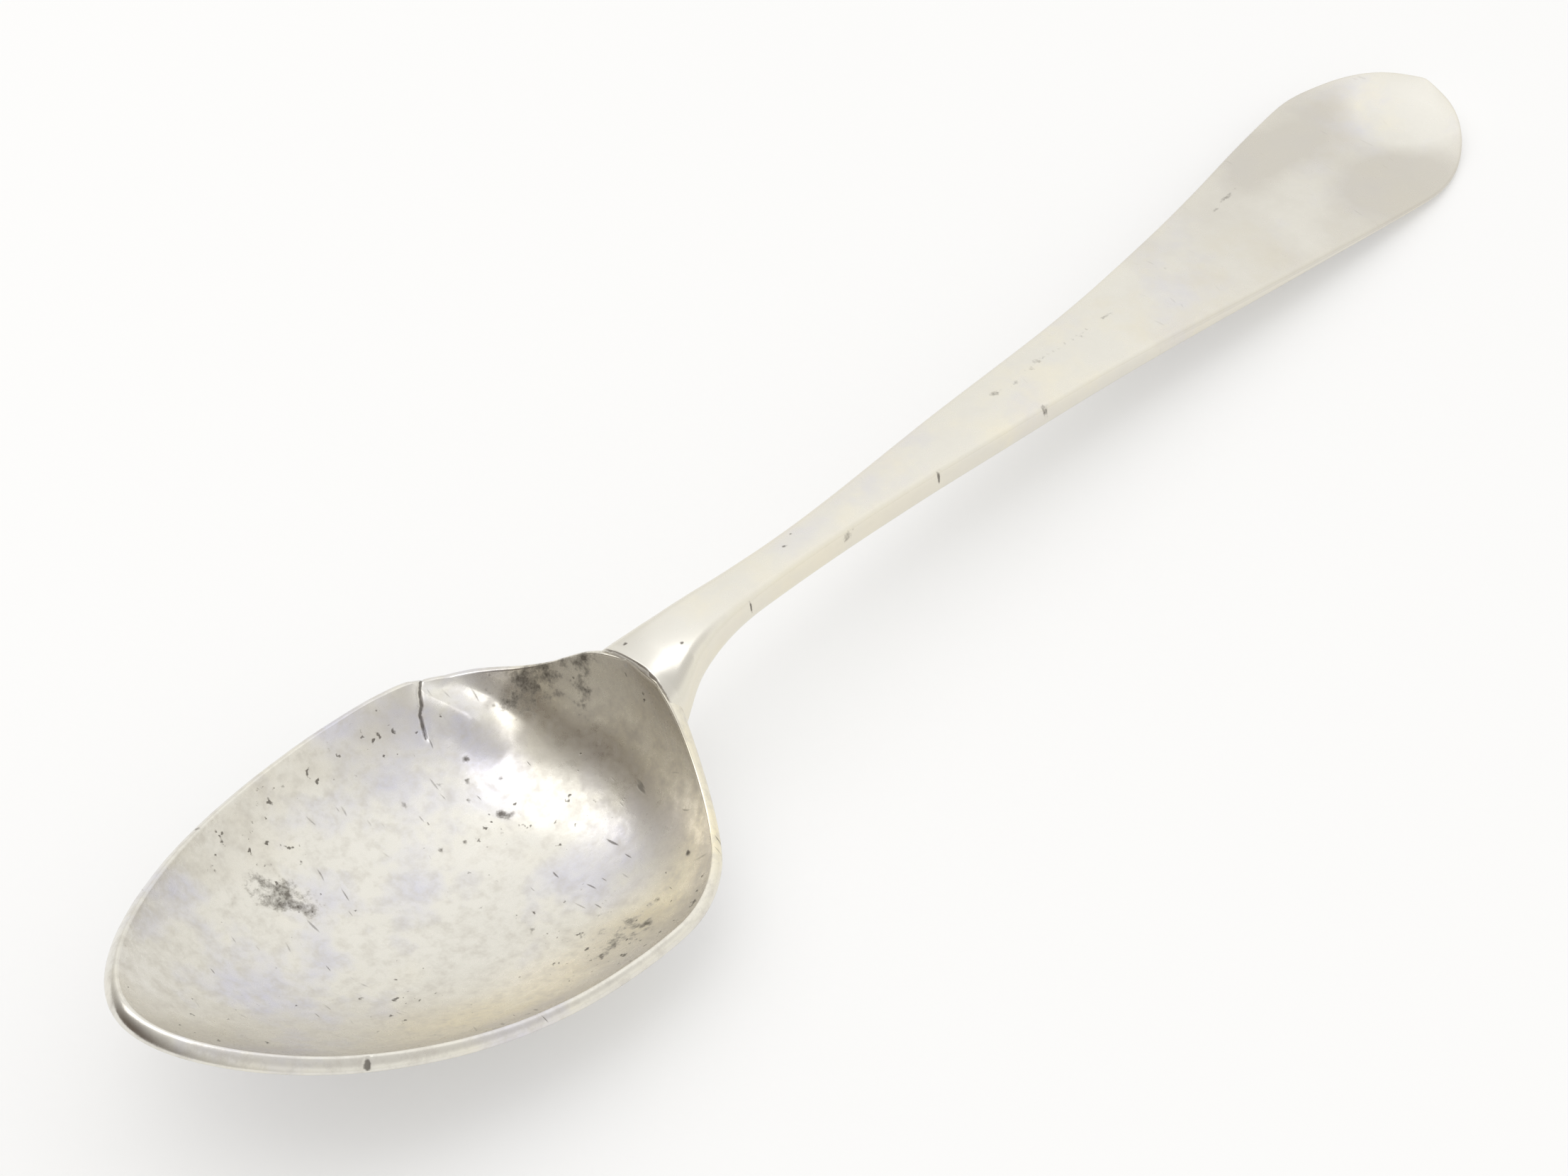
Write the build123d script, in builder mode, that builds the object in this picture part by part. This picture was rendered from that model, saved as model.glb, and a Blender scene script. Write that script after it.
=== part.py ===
"""Old silver teaspoon: a raised bowl and a forged stem, joined by a film of hard solder.

Millimetres. The bowl's own length lies along X with its tip towards -X, the stem runs towards +X,
Z is up, and the origin is the middle of the worn flat under the bowl, on the table.
"""
import os
from math import acos, asin, cos, degrees, radians, sin, sqrt, tan

from build123d import *

# Bowl, measured along its own rim before it is tipped
bowl_width = 26.4
bowl_depth = 5.0          # from the lowest stretch of the rim to the outside of the bottom
tip_reach = 27.4          # from the deepest station to the rim's tip
heel_reach = 10.5         # from the deepest station to the rim's top at the heel
wall = 0.55

# The rim's line, seen from the side: one long sweep to the tip, a tight one up to the heel
sweep_station = 5.3       # where the two sweeps meet, from the deepest station
tip_sweep = 73.0
heel_sweep = 5.0
heel_rise = 73.0          # degrees, slope of the rim where it climbs into the neck

# How the bowl sits
bowl_tilt = -1.6          # degrees, tip up
worn_flat = 0.06          # how much the table has worn off the bowl's back

# Stem, measured from the rim's top at the heel
stem_turn = 3.5           # degrees, the stem stands off the bowl's own line
stem_length = 84.8
neck_station = 6.0        # where the shoulders have run out
neck_width = 2.7
neck_thickness = 2.4
crest_station = 4.5
crest_rise = 0.4          # how far the neck's crest stands over the rim's top
crest_round = 12.0
shoulder_width = 6.2
shoulder_round = 9.0
waist_station = 37.5
waist_height = 6.5        # top of the stem over the table, at the waist
waist_thickness = 2.0
blade_taper = 6.8         # degrees, how far each side of the blade opens out
end_width = 13.4
end_thickness = 1.3
end_flat = 9.0            # stretch of the end that lies on the table
end_sweep = 80.0          # radius of the bend where the end flattens out
back_sweep = 200.0        # radius of the faint bend at the waist
arch_round = 12.0         # radius of the arch under the neck
edge_round = 0.4          # rounding of the stem's long edges

# The drop, a tongue of the stem under the bowl's heel
drop_reach = 6.0
drop_width = 5.0
drop_height = 0.7         # height of the drop's underside over the table at its tip

# Hard solder between the two
solder_film = 0.1

overrun = 5.0             # how far the rim's cut runs on past the tip
SPAN = 70.0               # longer than anything that has to be cut through


def rim_lift(station):
    """Height of the rim's line over its lowest point, at a station along the bowl."""
    along = station - sweep_station
    if along < 0:
        return tip_sweep - sqrt(tip_sweep**2 - along**2)
    arc_end = heel_sweep * sin(radians(heel_rise))
    if along < arc_end:
        return heel_sweep - sqrt(heel_sweep**2 - along**2)
    arc_lift = heel_sweep * (1 - cos(radians(heel_rise)))
    return arc_lift + (along - arc_end) * tan(radians(heel_rise))


def end_radius(reach, depth, lift):
    """Radius of the arc from the deepest point, where it lies level, up to an end of the rim."""
    drop = depth + lift
    return (reach**2 + drop**2) / (2 * drop)


tip_lift = rim_lift(-tip_reach)
heel_lift = rim_lift(heel_reach)
tip_radius = end_radius(tip_reach, bowl_depth, tip_lift)
heel_radius = end_radius(heel_reach, bowl_depth, heel_lift)

# The bowl's middle plane, tipped about Y so that the lowest point of its back comes to the origin
low_radius = heel_radius if bowl_tilt > 0 else tip_radius
low_centre = low_radius - bowl_depth
tilt = radians(bowl_tilt)
bowl_side = Plane(
    origin=(-low_centre * sin(tilt), 0, low_radius - worn_flat - low_centre * cos(tilt)),
    x_dir=(cos(tilt), 0, -sin(tilt)),
    z_dir=(0, -1, 0),
)

# The rim's top at the heel, where the stem starts
heel_top = bowl_side.from_local_coords((heel_reach, heel_lift, 0))

turn = radians(stem_turn)
stem_dir = (cos(turn), sin(turn), 0)
stem_plan = Plane(origin=(heel_top.X, 0, 0), x_dir=stem_dir, z_dir=(0, 0, 1))
stem_side = Plane(origin=(heel_top.X, 0, 0), x_dir=stem_dir, z_dir=(sin(turn), -cos(turn), 0))


def dish(growth):
    """Solid of revolution about a line over the rim, whose underside is the bowl's back, grown."""
    half_width = bowl_width / 2
    axis_height = (half_width**2 - bowl_depth**2) / (2 * bowl_depth)
    bottom = (0, -bowl_depth - growth)
    axis = Axis(tuple(bowl_side.from_local_coords((0, axis_height, 0))), tuple(bowl_side.x_dir))
    with BuildPart() as body:
        with BuildSketch(bowl_side):
            with BuildLine():
                to_tip = JernArc(bottom, (-1, 0), tip_radius + growth, -90)
                to_heel = JernArc(bottom, (1, 0), heel_radius + growth, 90)
                Polyline(to_tip @ 1, ((to_tip @ 1).X, SPAN), ((to_heel @ 1).X, SPAN), to_heel @ 1)
            make_face()
            with Locations((0, axis_height)):
                Rectangle(4 * SPAN, 2 * SPAN, align=(Align.CENTER, Align.MIN), mode=Mode.SUBTRACT)
        revolve(axis=axis)
    return body.part


def over_rim():
    """Everything above the rim's line, from beyond the tip to beyond the heel."""
    top = heel_lift + SPAN * tan(radians(heel_rise))
    tip_angle = degrees(asin((sweep_station + tip_reach + overrun) / tip_sweep))
    with BuildPart() as body:
        with BuildSketch(bowl_side):
            with BuildLine():
                to_tip = JernArc((sweep_station, 0), (-1, 0), tip_sweep, -tip_angle)
                to_heel = JernArc((sweep_station, 0), (1, 0), heel_sweep, heel_rise)
                Polyline(
                    to_heel @ 1,
                    (heel_reach + SPAN, top),
                    (-2 * SPAN, top),
                    (-2 * SPAN, (to_tip @ 1).Y),
                    to_tip @ 1,
                )
            make_face()
        extrude(amount=SPAN, both=True)
    return body.part


outer_dish = dish(0)
seat_dish = dish(solder_film)
rim_cutter = over_rim()

# The bowl's back as raised, up to the rim's line: what faces down or sideways, not up as the cut does
with BuildPart() as blank:
    add(outer_dish)
    add(rim_cutter, mode=Mode.SUBTRACT)
least_up = cos(radians(heel_rise)) / 2
back_faces = blank.faces().filter_by(lambda face: face.normal_at().dot(bowl_side.y_dir) < least_up)

# Bowl, the back given the sheet's thickness inwards, so that its rim is square to the sheet all round
with BuildPart() as sheet:
    thicken(back_faces, amount=-wall)
with BuildPart() as bowl:
    add(outer_dish)
    add(sheet.part, mode=Mode.INTERSECT)
    split(bisect_by=Plane.XY, keep=Keep.TOP)

# Stem as forged, before the seat for the bowl is let into it
crest_height = heel_top.Z + crest_rise
flat_station = stem_length - end_flat
end_centre = stem_length - end_width / 2
taper = radians(blade_taper)
blade_reach = (neck_width * cos(taper) - end_width) / 2 + (end_centre - neck_station) * sin(taper)
blade_sweep = blade_reach / (1 - cos(taper))
flare_angle = degrees(acos(1 - (shoulder_width - neck_width) / 2 / shoulder_round))
with BuildPart() as forging:
    with BuildSketch(stem_plan):
        with BuildLine():
            tongue = CenterArc((drop_width / 2 - drop_reach, 0), drop_width / 2, 90, 90)
            flare = JernArc((neck_station, neck_width / 2), (-1, 0), shoulder_round, -flare_angle)
            Line(tongue @ 0, flare @ 1)
            blade = JernArc((neck_station, neck_width / 2), (1, 0), blade_sweep, blade_taper)
            end = CenterArc((end_centre, 0), end_width / 2, 0, 90 + blade_taper)
            Line(blade @ 1, end @ 1)
            Line((-drop_reach, 0), (stem_length, 0))
        make_face()
        mirror(about=Plane.XZ)
    extrude(amount=SPAN)
    with BuildSketch(stem_side):
        with BuildLine():
            top = FilletPolyline(
                (-drop_reach, heel_top.Z - drop_reach * crest_rise / crest_station),
                (crest_station, crest_height),
                (waist_station, waist_height),
                (flat_station, end_thickness),
                (stem_length, end_thickness),
                radius=[crest_round, back_sweep, end_sweep],
            )
            underside = FilletPolyline(
                (stem_length, 0),
                (flat_station, 0),
                (waist_station, waist_height - waist_thickness),
                (neck_station, crest_height - neck_thickness),
                (-drop_reach, drop_height),
                radius=[end_sweep, back_sweep, arch_round],
            )
            Line(top @ 1, underside @ 0)
            Line(underside @ 1, top @ 0)
        make_face()
    extrude(amount=SPAN, both=True, mode=Mode.INTERSECT)
    long_edges = forging.edges().filter_by(
        lambda edge: abs(edge.tangent_at(0.5).Z) < 0.9
        and abs(edge.tangent_at(0.5).dot(stem_side.z_dir)) < 0.99
    )
    fillet(long_edges, edge_round)

# Stem, with the seat for the bowl's heel and back
with BuildPart() as stem:
    add(forging.part)
    add(seat_dish, mode=Mode.SUBTRACT)
    add(rim_cutter, mode=Mode.SUBTRACT)

# Solder, what fills the seat between the two
with BuildPart() as solder_seam:
    add(forging.part)
    add(seat_dish, mode=Mode.INTERSECT)
    add(outer_dish, mode=Mode.SUBTRACT)
    add(rim_cutter, mode=Mode.SUBTRACT)

os.makedirs("parts", exist_ok=True)
bowl.part.label = "bowl"
export_step(bowl.part, "parts/bowl.step")
stem.part.label = "stem"
export_step(stem.part, "parts/stem.step")
solder_seam.part.label = "solder_seam"
export_step(solder_seam.part, "parts/solder_seam.step")
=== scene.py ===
"""A worn silver teaspoon: a raised bowl, a forged stem and the solder between them, on a pale table."""

import math

import bmesh
import bpy
import numpy as np
from bpy.props import FloatProperty, FloatVectorProperty, PointerProperty
from mathutils import Matrix, Vector


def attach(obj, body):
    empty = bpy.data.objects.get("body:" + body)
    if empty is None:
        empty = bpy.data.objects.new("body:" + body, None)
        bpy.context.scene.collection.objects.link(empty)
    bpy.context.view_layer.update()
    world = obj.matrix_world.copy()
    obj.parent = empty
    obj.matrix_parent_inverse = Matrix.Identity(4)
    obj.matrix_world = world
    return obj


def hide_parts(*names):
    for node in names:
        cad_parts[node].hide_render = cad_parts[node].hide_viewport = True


bl_info = {
    "name": "Worn silver teaspoon",
    "version": (1, 0, 0),
    "blender": (4, 5, 0),
    "location": "3D View > Sidebar > Teaspoon",
    "description": "Makes the bowl, the stem, the solder seam and the stage of a worn silver teaspoon",
    "category": "Object",
}

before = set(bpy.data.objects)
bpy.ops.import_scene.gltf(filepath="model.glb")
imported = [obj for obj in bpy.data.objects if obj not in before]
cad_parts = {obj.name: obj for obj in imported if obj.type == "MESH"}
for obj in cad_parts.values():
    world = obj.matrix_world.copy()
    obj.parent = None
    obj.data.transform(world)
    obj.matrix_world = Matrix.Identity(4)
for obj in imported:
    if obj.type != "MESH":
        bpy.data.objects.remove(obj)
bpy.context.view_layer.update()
MM = 0.001


def linear(code):
    """Turns an sRGB hex colour to linear: c/12.92 up to 0.04045, above it ((c + 0.055) / 1.055) ** 2.4."""
    c = np.array([int(code[i : i + 2], 16) for i in (1, 3, 5)]) / 255
    out = np.where(c <= 0.04045, c / 12.92, ((c + 0.055) / 1.055) ** 2.4)
    return tuple(float(v) for v in out)


def number(name, description, value, unit="NONE"):
    """A plain number property."""
    return FloatProperty(name=name, description=description, default=value, unit=unit)


def length(name, description, value):
    """A length property in metres, written in millimetres."""
    return FloatProperty(name=name, description=description, default=value * MM, unit="LENGTH", precision=5)


def angle(name, description, value):
    """An angle property in radians, written in degrees."""
    return FloatProperty(name=name, description=description, default=math.radians(value), subtype="ANGLE")


def colour(name, description, code):
    """A linear colour property, written as an sRGB hex value."""
    return FloatVectorProperty(
        name=name, description=description, default=linear(code), size=3, min=0, max=1, subtype="COLOR"
    )


class BowlSizes(bpy.types.PropertyGroup):
    """Sizes of the raised bowl"""

    width: length("Width", "Across the bowl at its deepest station", 26.4)
    depth: length("Depth", "From the rim down to the deepest point of the back", 5.0)
    tip_reach: length("Tip reach", "From the deepest station to the tip", 27.4)
    heel_reach: length("Heel reach", "From the deepest station to the heel", 10.5)
    wall: length("Wall", "Thickness of the raised sheet", 0.58)
    heel_wall: length("Heel wall", "Thickness that the sheet gains at the heel", 0.25)
    heel_spread: angle("Heel spread", "How far round the rim that thickness fades out", 42.0)
    tip_wall: length("Tip wall", "Thickness that the sheet gains at the tip", 0.35)
    tip_spread: angle("Tip spread", "How far round the rim that thickness fades out", 54.431)
    rim_wall: length("Rim wall", "Thickness that the sheet gains all along the rim", 0.2)
    rim_round: length("Rim round", "Height of the rounding on the rim", 0.22)
    sweep_station: length("Sweep station", "Where the rim's line is lowest", 5.3)
    tip_sweep: length("Tip sweep", "Radius of the rim's line towards the tip", 73.0)
    heel_sweep: length("Heel sweep", "Radius of the rim's line towards the heel", 5.17)
    heel_rise: angle("Heel rise", "Steepest slope of the rim's line at the heel", 80.0)
    pinch: number("Pinch", "Share of the width that is drawn in at the heel", 0.38)
    pinch_station: length("Pinch station", "Where the sides start to draw in", 4.8)
    tilt: angle("Tilt", "Lean of the bowl on the table", -1.6)
    worn_flat: length("Worn flat", "Metal worn off the back where it rests", 0.06)


class StemSizes(bpy.types.PropertyGroup):
    """Sizes of the forged stem"""

    turn: angle("Turn", "Angle of the stem in plan", 3.5)
    length: length("Length", "From the bowl's heel to the end", 84.0)
    end_start: length("End start", "Where the edges start to round into the end", 74.0)
    end_skew: length("End skew", "How far the worn end leans to the far side", 0.7)
    twist: number("Twist", "Sideways slope of the blade at its end", 0.07)
    drop_reach: length("Drop reach", "How far the drop runs under the bowl", 6.0)
    drop_width: length("Drop width", "Width of the drop", 5.0)


class SeamSizes(bpy.types.PropertyGroup):
    """Sizes of the solder seam"""

    bead: length("Bead", "Radius of the solder that shows along the drop", 0.11)


class SilverColours(bpy.types.PropertyGroup):
    """Colours of the silver and what has settled on it"""

    silver: colour("Silver", "Clean worn silver", "#e3e0d8")
    lilac: colour("Lilac film", "Thin bluish tarnish", "#d3d2de")
    straw: colour("Straw film", "Thin yellowish tarnish", "#f2e9ce")
    # Also the grey in which painted shade is laid on as dull metal
    scuff_and_shade_grey: colour("Patina", "Grey of finely scuffed metal", "#cac5bc")
    grime: colour("Grime", "Dirt in pits, cracks and scratches", "#4b443d")
    solder: colour("Solder", "Silver solder, a little yellower and duller", "#c9c1ae")


class StageSettings(bpy.types.PropertyGroup):
    """The camera, the table and the light"""

    lens: number("Lens", "Focal length on a 36 mm wide sensor", 64.96, "CAMERA")
    camera_azimuth: angle("Camera azimuth", "Turn of the camera about the upright", -42.4309)
    camera_elevation: angle("Camera elevation", "Height of the camera above the horizon", 46.8771)
    camera_roll: angle("Camera roll", "Turn of the camera about its own line of sight", -3.0907)
    camera_distance: length("Camera distance", "From the camera to the point it looks at", 182.589)
    target_x: length("Target X", "Point on the table that the camera looks at", 26.5276)
    target_y: length("Target Y", "Point on the table that the camera looks at", 5.2056)
    table_half: length("Table half", "Half the side of the table", 3000)
    floor: colour("Floor", "Pale table", "#fefefe")
    floor_glow: number("Floor glow", "Share of the table that is plain white", 0.3)
    sky: colour("Sky", "Soft light from above", "#fdfdfc")
    horizon: colour("Horizon", "Soft light from the sides", "#e8e7e2")
    shade: colour("Shade", "The dim side of the studio", "#645b54")
    world_strength: number("World strength", "Strength of the light from all round", 1.14)
    panel_power: number("Panel power", "Power of the overhead panel", 1.8, "POWER")
    panel_width: length("Panel width", "Short side of the overhead panel", 480)
    panel_length: length("Panel length", "Long side of the overhead panel", 1300)
    panel_x: length("Panel X", "Place of the overhead panel", -240)
    panel_y: length("Panel Y", "Place of the overhead panel", 400)
    panel_height: length("Panel height", "Height of the overhead panel above the table", 800)
    panel_turn: angle("Panel turn", "Turn of the overhead panel about the upright", 25)


# Lines and blots that shapes and marks are drawn with

EASE_STEPS = 15  # places in the window over which a line's corners are eased


def ramp(x, start, end):
    """Share of the way from start to end: 0 before start, 1 past end, and a straight line between them."""
    return np.clip((x - start) / (end - start), 0, 1)


def bell(q):
    """A soft hump, exp(-q^2): 1 in the middle and next to nothing past q = 2."""
    return np.exp(-(q * q))


def runs(x, knots):
    """Straight runs through knots, which are pairs of x and value, held level past the first and the
    last."""
    return np.interp(x, *np.array(knots).T)


def faired(x, knots, reach):
    """A line through knots given in millimetres, with its corners eased: the mean of the straight runs
    over a window of reach each way."""
    window = np.linspace(-1, 1, EASE_STEPS)
    return np.mean([runs((x + w * reach) / MM, knots) for w in window], axis=0) * MM


def stroke(x, y, path, width):
    """Closeness of points to a drawn line: a bell of d / width, where d is the least distance to its
    runs."""
    d = np.full(np.shape(x), np.inf)
    for (x0, y0), (x1, y1) in zip(path[:-1], path[1:]):
        run = (x1 - x0) ** 2 + (y1 - y0) ** 2
        t = np.clip(((x - x0) * (x1 - x0) + (y - y0) * (y1 - y0)) / run, 0, 1)
        d = np.minimum(d, np.hypot(x - x0 - t * (x1 - x0), y - y0 - t * (y1 - y0)))
    return bell(d / width)


def spot(x, y, centre, size, lean):
    """A soft blot: exp(-q^2), where q is the distance from centre in units of size along its two turned
    axes."""
    dx, dy = x - centre[0], y - centre[1]
    a = (dx * math.cos(lean) + dy * math.sin(lean)) / size[0]
    b = (dy * math.cos(lean) - dx * math.sin(lean)) / size[1]
    return np.exp(-(a * a + b * b))


def blots(x, y, rows):
    """The sum of soft blots. Each row gives an amount, a place, a half length, a half width and a lean."""
    return sum(amount * spot(x, y, (cx, cy), (a, b), lean) for amount, cx, cy, a, b, lean in rows)


# Shape of the bowl

HAIR = 1e-9  # metres, keeps points that lie on an edge from falling off it
PLAN_TRIES = 60001  # stations tried for the two ends of the rim
PLAN_MARGIN = 1 * MM  # how far beyond the bowl they are tried


def rim_lift(s, x):
    """Height of the rim's line at station x. It is an arc of radius tip_sweep before the sweep station
    and an arc of radius heel_sweep after it, which goes on as a straight climb from the slope heel_rise."""
    a = x - s.sweep_station
    reach = s.heel_sweep * math.sin(s.heel_rise)
    tip = s.tip_sweep - np.sqrt(s.tip_sweep**2 - np.minimum(a, 0) ** 2)
    arc = s.heel_sweep - np.sqrt(s.heel_sweep**2 - np.clip(a, 0, reach) ** 2)
    return tip + arc + np.maximum(a - reach, 0) * math.tan(s.heel_rise)


def end_radius(s, x):
    """Radius of the arc that leaves the deepest point level and meets the rim's line at station x."""
    fall = s.depth + float(rim_lift(s, x))
    return (x * x + fall * fall) / (2 * fall)


def axis_height(s):
    """Height of the bowl's axis: the centre of the arc through the rim's two sides and the deepest point."""
    half = s.width / 2
    return (half * half - s.depth * s.depth) / (2 * s.depth)


def pinched(s, x):
    """Share of its width that the bowl keeps at station x: it is drawn in towards the heel as a square
    law."""
    return 1 - s.pinch * ramp(x, s.pinch_station, s.heel_reach) ** 2


def section(s, x, growth=0.0):
    """Two radii of the bowl's back at station x, the back being grown outwards by growth. The first, rho,
    is that of the tip's or the heel's arc along the bowl. The second is that of the arc across it, about
    the bowl's axis: the axis height less rho plus the depth, plus sqrt((rho + growth)^2 - x^2)."""
    rho = np.where(x < 0, end_radius(s, -s.tip_reach), end_radius(s, s.heel_reach))
    return rho, axis_height(s) - (rho - s.depth) + np.sqrt(np.maximum((rho + growth) ** 2 - x * x, 0))


def dish(s, x, y, growth):
    """Height of the bowl's back, grown outwards by growth, above the rim's level, before the heel is
    drawn in: the axis height less sqrt(r^2 - y^2), with r the radius of the arc across. Past its end it
    is infinite."""
    rho, r = section(s, x, growth)
    inside = (np.abs(x) < rho + growth) & (np.abs(y) < r)
    return np.where(inside, axis_height(s) - np.sqrt(np.maximum(r * r - y * y, 0)), np.inf)


def dish_normal(s, p):
    """Outward normal of the back at its points p: along x by the slope of the tip's or heel's arc,
    x / sqrt(rho^2 - x^2), and across it straight away from the bowl's axis."""
    x, y, z = p[..., 0], p[..., 1], p[..., 2]
    rho, r = section(s, x)
    level = np.sqrt(np.maximum(rho**2 - x * x, HAIR**2))
    n = np.stack([x / level, y / r, (z - axis_height(s)) / r], -1)
    return n / np.linalg.norm(n, axis=-1, keepdims=True)


def rim_plan(s, turn):
    """Plan of the rim's outer edge at the angles turn: where the back meets the rim's line. Station x
    runs as the cosine of the angle between the two ends, and y is the half chord of the station's arc at
    the rim's height."""

    def chord(x):
        r = section(s, x)[1]
        return r * r - (axis_height(s) - rim_lift(s, x) + s.rim_round) ** 2

    tries = np.linspace(-s.tip_reach - PLAN_MARGIN, s.heel_reach + PLAN_MARGIN, PLAN_TRIES)
    met = tries[(chord(tries) > 0) & (np.abs(tries) < section(s, tries)[0])]
    c = np.cos(turn)
    x = np.where(c < 0, -met.min() * c, met.max() * c)
    return x, np.sign(np.sin(turn)) * np.sqrt(np.maximum(chord(x), 0))


def to_part(s, x, y, z):
    """Moves points from the bowl's own axes to the part's: leans them by tilt about the deepest point's
    arc, and sets the back down on the table less what is worn off it."""
    drop = end_radius(s, -s.tip_reach) - s.depth
    ct, st = math.cos(s.tilt), math.sin(s.tilt)
    ox = -drop * st
    oz = drop + s.depth - s.worn_flat - drop * ct
    return np.stack([ox + x * ct + z * st, y, oz - x * st + z * ct], -1)


# Marks of use on the bowl, and painted shade, as X and Y in the bowl's own axes in millimetres

TEAR = [(2.2, 12.6), (1.25, 11.65), (0.95, 11.2), (0.55, 10.95), (0.2, 10.3), (-0.05, 9.85)]
TEAR_WIDTH = 0.1
TEAR_DEPTH = 0.12
TEAR_GRIME = (0.75, 0.08)  # amount and width of the dirt in it
RIM_NICK = math.radians(225.6)  # angle round the rim
RIM_NICK_SPREAD = math.radians(0.5)
RIM_NICK_DEPTH = 0.1
# Slow waves left by raising and wear: height, radians per millimetre along X and along Y, and start
BOWL_WAVES = [(0.035, 0.52, 0.31, 0.6), (0.03, -0.37, 0.66, 2.1)]
# A finer ripple, a sine along X times a cosine along Y: height, then the rate and start of each
BOWL_RIPPLE = (0.018, 1.35, 0.4, 1.1, 1.2)
WAVES_HELD = 0.6  # share of the waves that the stiff rim holds back
# The middle of the fold's lit side, as Y and X
FOLD_LINE = [(6.9, 3.99), (7.9, 3.86), (9.1, 3.67), (10.2, 3.16), (11.3, 2.63), (13.0, 2.2)]
FOLD_SLANT = 0.9  # a step along X is this much of a step across the fold
FOLD_HALF = 0.85  # half the width of the lit side
FOLD_FADES = (1.2, 1.8)  # how far the fold fades out towards the tip and towards the heel
FOLD_DEPTH = 0.6
FOLD_START = (6.2, 8.7)  # Y between which it comes in
FOLD_HELD = 0.4  # share of the fold that the stiff rim holds back
# Sags of the torn rim: amount, place, half sizes and lean
RIM_SAGS = [(-0.65, 1.6, 12.6, 1.8, 2.5, 0), (-0.25, 4.2, 10.9, 1.8, 1.8, 0)]
# Rise of the far rim into the shoulder, and dip under the web: height, Y, half width, and X where it
# comes in
HEEL_LIFTS = [(0.95, 4.2, 2.2, 5.0, 7.0), (-0.62, -0.2, 1.8, 8.0, 9.5)]
# Stains on the inside: amount, place, half sizes and lean
STAINS = [
    (0.56, -13.7, 6.1, 2.2, 1.3, -0.74),
    (0.5, 0.4, 3.6, 0.85, 0.4, -0.74),
    (0.45, 8.4, 4.2, 1.5, 0.9, 0.4),
    (0.5, 6.4, 7.4, 2.8, 1.7, -0.6),
    (0.33, -1.6, -9.2, 3.2, 1.6, 0.1),
]
# Small dark marks on the inside: place and half length
SMALL_MARKS = [
    (1.0, 7.6, 0.35),
    (0.2, 6.6, 0.3),
    (-0.6, 5.6, 0.3),
    (1.8, 5.4, 0.25),
    (-1.3, 7.3, 0.35),
    (-2.6, 3.7, 0.3),
    (-4.1, 4.2, 0.3),
    (-3.8, 7.6, 0.25),
    (-5.1, -0.6, 0.25),
    (-4.1, -4.2, 0.3),
    (-2.7, -7.0, 0.35),
    (-0.9, -6.5, 0.3),
    (-3.4, -9.8, 0.35),
    (-0.3, -9.9, 0.35),
    (1.6, -8.9, 0.3),
    (4.6, -8.4, 0.25),
    (-9.2, 11.3, 0.3),
    (-15.3, 10.7, 0.3),
    (-5.6, 12.0, 0.3),
]
MARK_GRIME = 0.5
MARK_SLIM = 0.7  # width as a share of the length
MARK_TURN = 3.0  # radians of lean per millimetre of X, so that no two lie alike
# Straw film: a gold band along the near wall, and blots round the heel
STRAW_BAND = [(6.0, -9.5), (-2.0, -9.6), (-9.0, -9.0), (-14.0, -7.4)]
STRAW_AMOUNT = 0.9
STRAW_WIDTH = 2.6
STRAW_SPOTS = [(0.8, 8.5, -3.0, 3.2, 7.5, 0), (0.5, 6.0, 6.5, 3.0, 3.5, 0)]
# Painted shade, laid on as dull grey metal: shares of the way out to the rim between which it comes on,
# under the near lip and on the far wall
NEAR_LIP_SHADE = (0.78, 0.98)
NEAR_LIP_SHADE_TURN = 0.35  # radians by which the near band is turned round the rim
FAR_WALL_SHADE = (0.55, 0.9)
FAR_WALL_SHADE_AMOUNT = 0.5
# Sines of the angle round the rim between which the near and the far side come in
NEAR_SIDE = (0.1, 0.6)
FAR_SIDE = (0.2, 0.7)
# A blot of painted shade on the near wall: amount, place, half sizes and lean
NEAR_WALL_SHADE_BLOTS = [(0.9, -1.6, -9.8, 3.6, 2.0, 0)]


def bowl_dents(x, y, near_rim):
    """Height that use has added to the sheet at a plan point in millimetres: slow waves, a fold that runs
    in from the rim beside the tear, sags of the torn rim, a rise where the far rim runs into the
    shoulder, and a dip under the web that laps over it. The fold falls in a straight line across its lit
    side, from a ridge towards the tip to a trough towards the heel, and both fade out as bells."""
    waves = sum(height * np.sin(p * x + q * y + start) for height, p, q, start in BOWL_WAVES)
    height, p, p_start, q, q_start = BOWL_RIPPLE
    waves = waves + height * np.sin(p * x + p_start) * np.cos(q * y + q_start)
    across = FOLD_SLANT * (x - runs(y, FOLD_LINE))
    beyond = np.maximum(np.abs(across) - FOLD_HALF, 0) / np.where(across < 0, *FOLD_FADES)
    fold = -FOLD_DEPTH * ramp(y, *FOLD_START) * np.clip(across / FOLD_HALF, -1, 1) * bell(beyond)
    lifts = sum(h * bell((y - middle) / half) * ramp(x, a, b) for h, middle, half, a, b in HEEL_LIFTS)
    held = waves * (1 - WAVES_HELD * near_rim) + fold * (1 - FOLD_HELD * near_rim)
    return (held + near_rim * (blots(x, y, RIM_SAGS) + lifts)) * MM


def bowl_grime(x, y):
    """How much dirt lies at a plan point of the inside in millimetres, at most 1: the tear, the stains
    and the small marks, which are blots 0.7 as wide as they are long, each with a lean of its own."""
    marks = [(MARK_GRIME, a, b, half, MARK_SLIM * half, MARK_TURN * a) for a, b, half in SMALL_MARKS]
    amount, width = TEAR_GRIME
    dirt = amount * stroke(x, y, TEAR, width) + blots(x, y, STAINS + marks)
    return np.minimum(dirt, 1)


def bowl_straw(x, y):
    """How yellow the film is at a plan point of the inside in millimetres: gold along the near wall and
    straw round the heel, at most 1."""
    return np.minimum(STRAW_AMOUNT * stroke(x, y, STRAW_BAND, STRAW_WIDTH) + blots(x, y, STRAW_SPOTS), 1)


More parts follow.
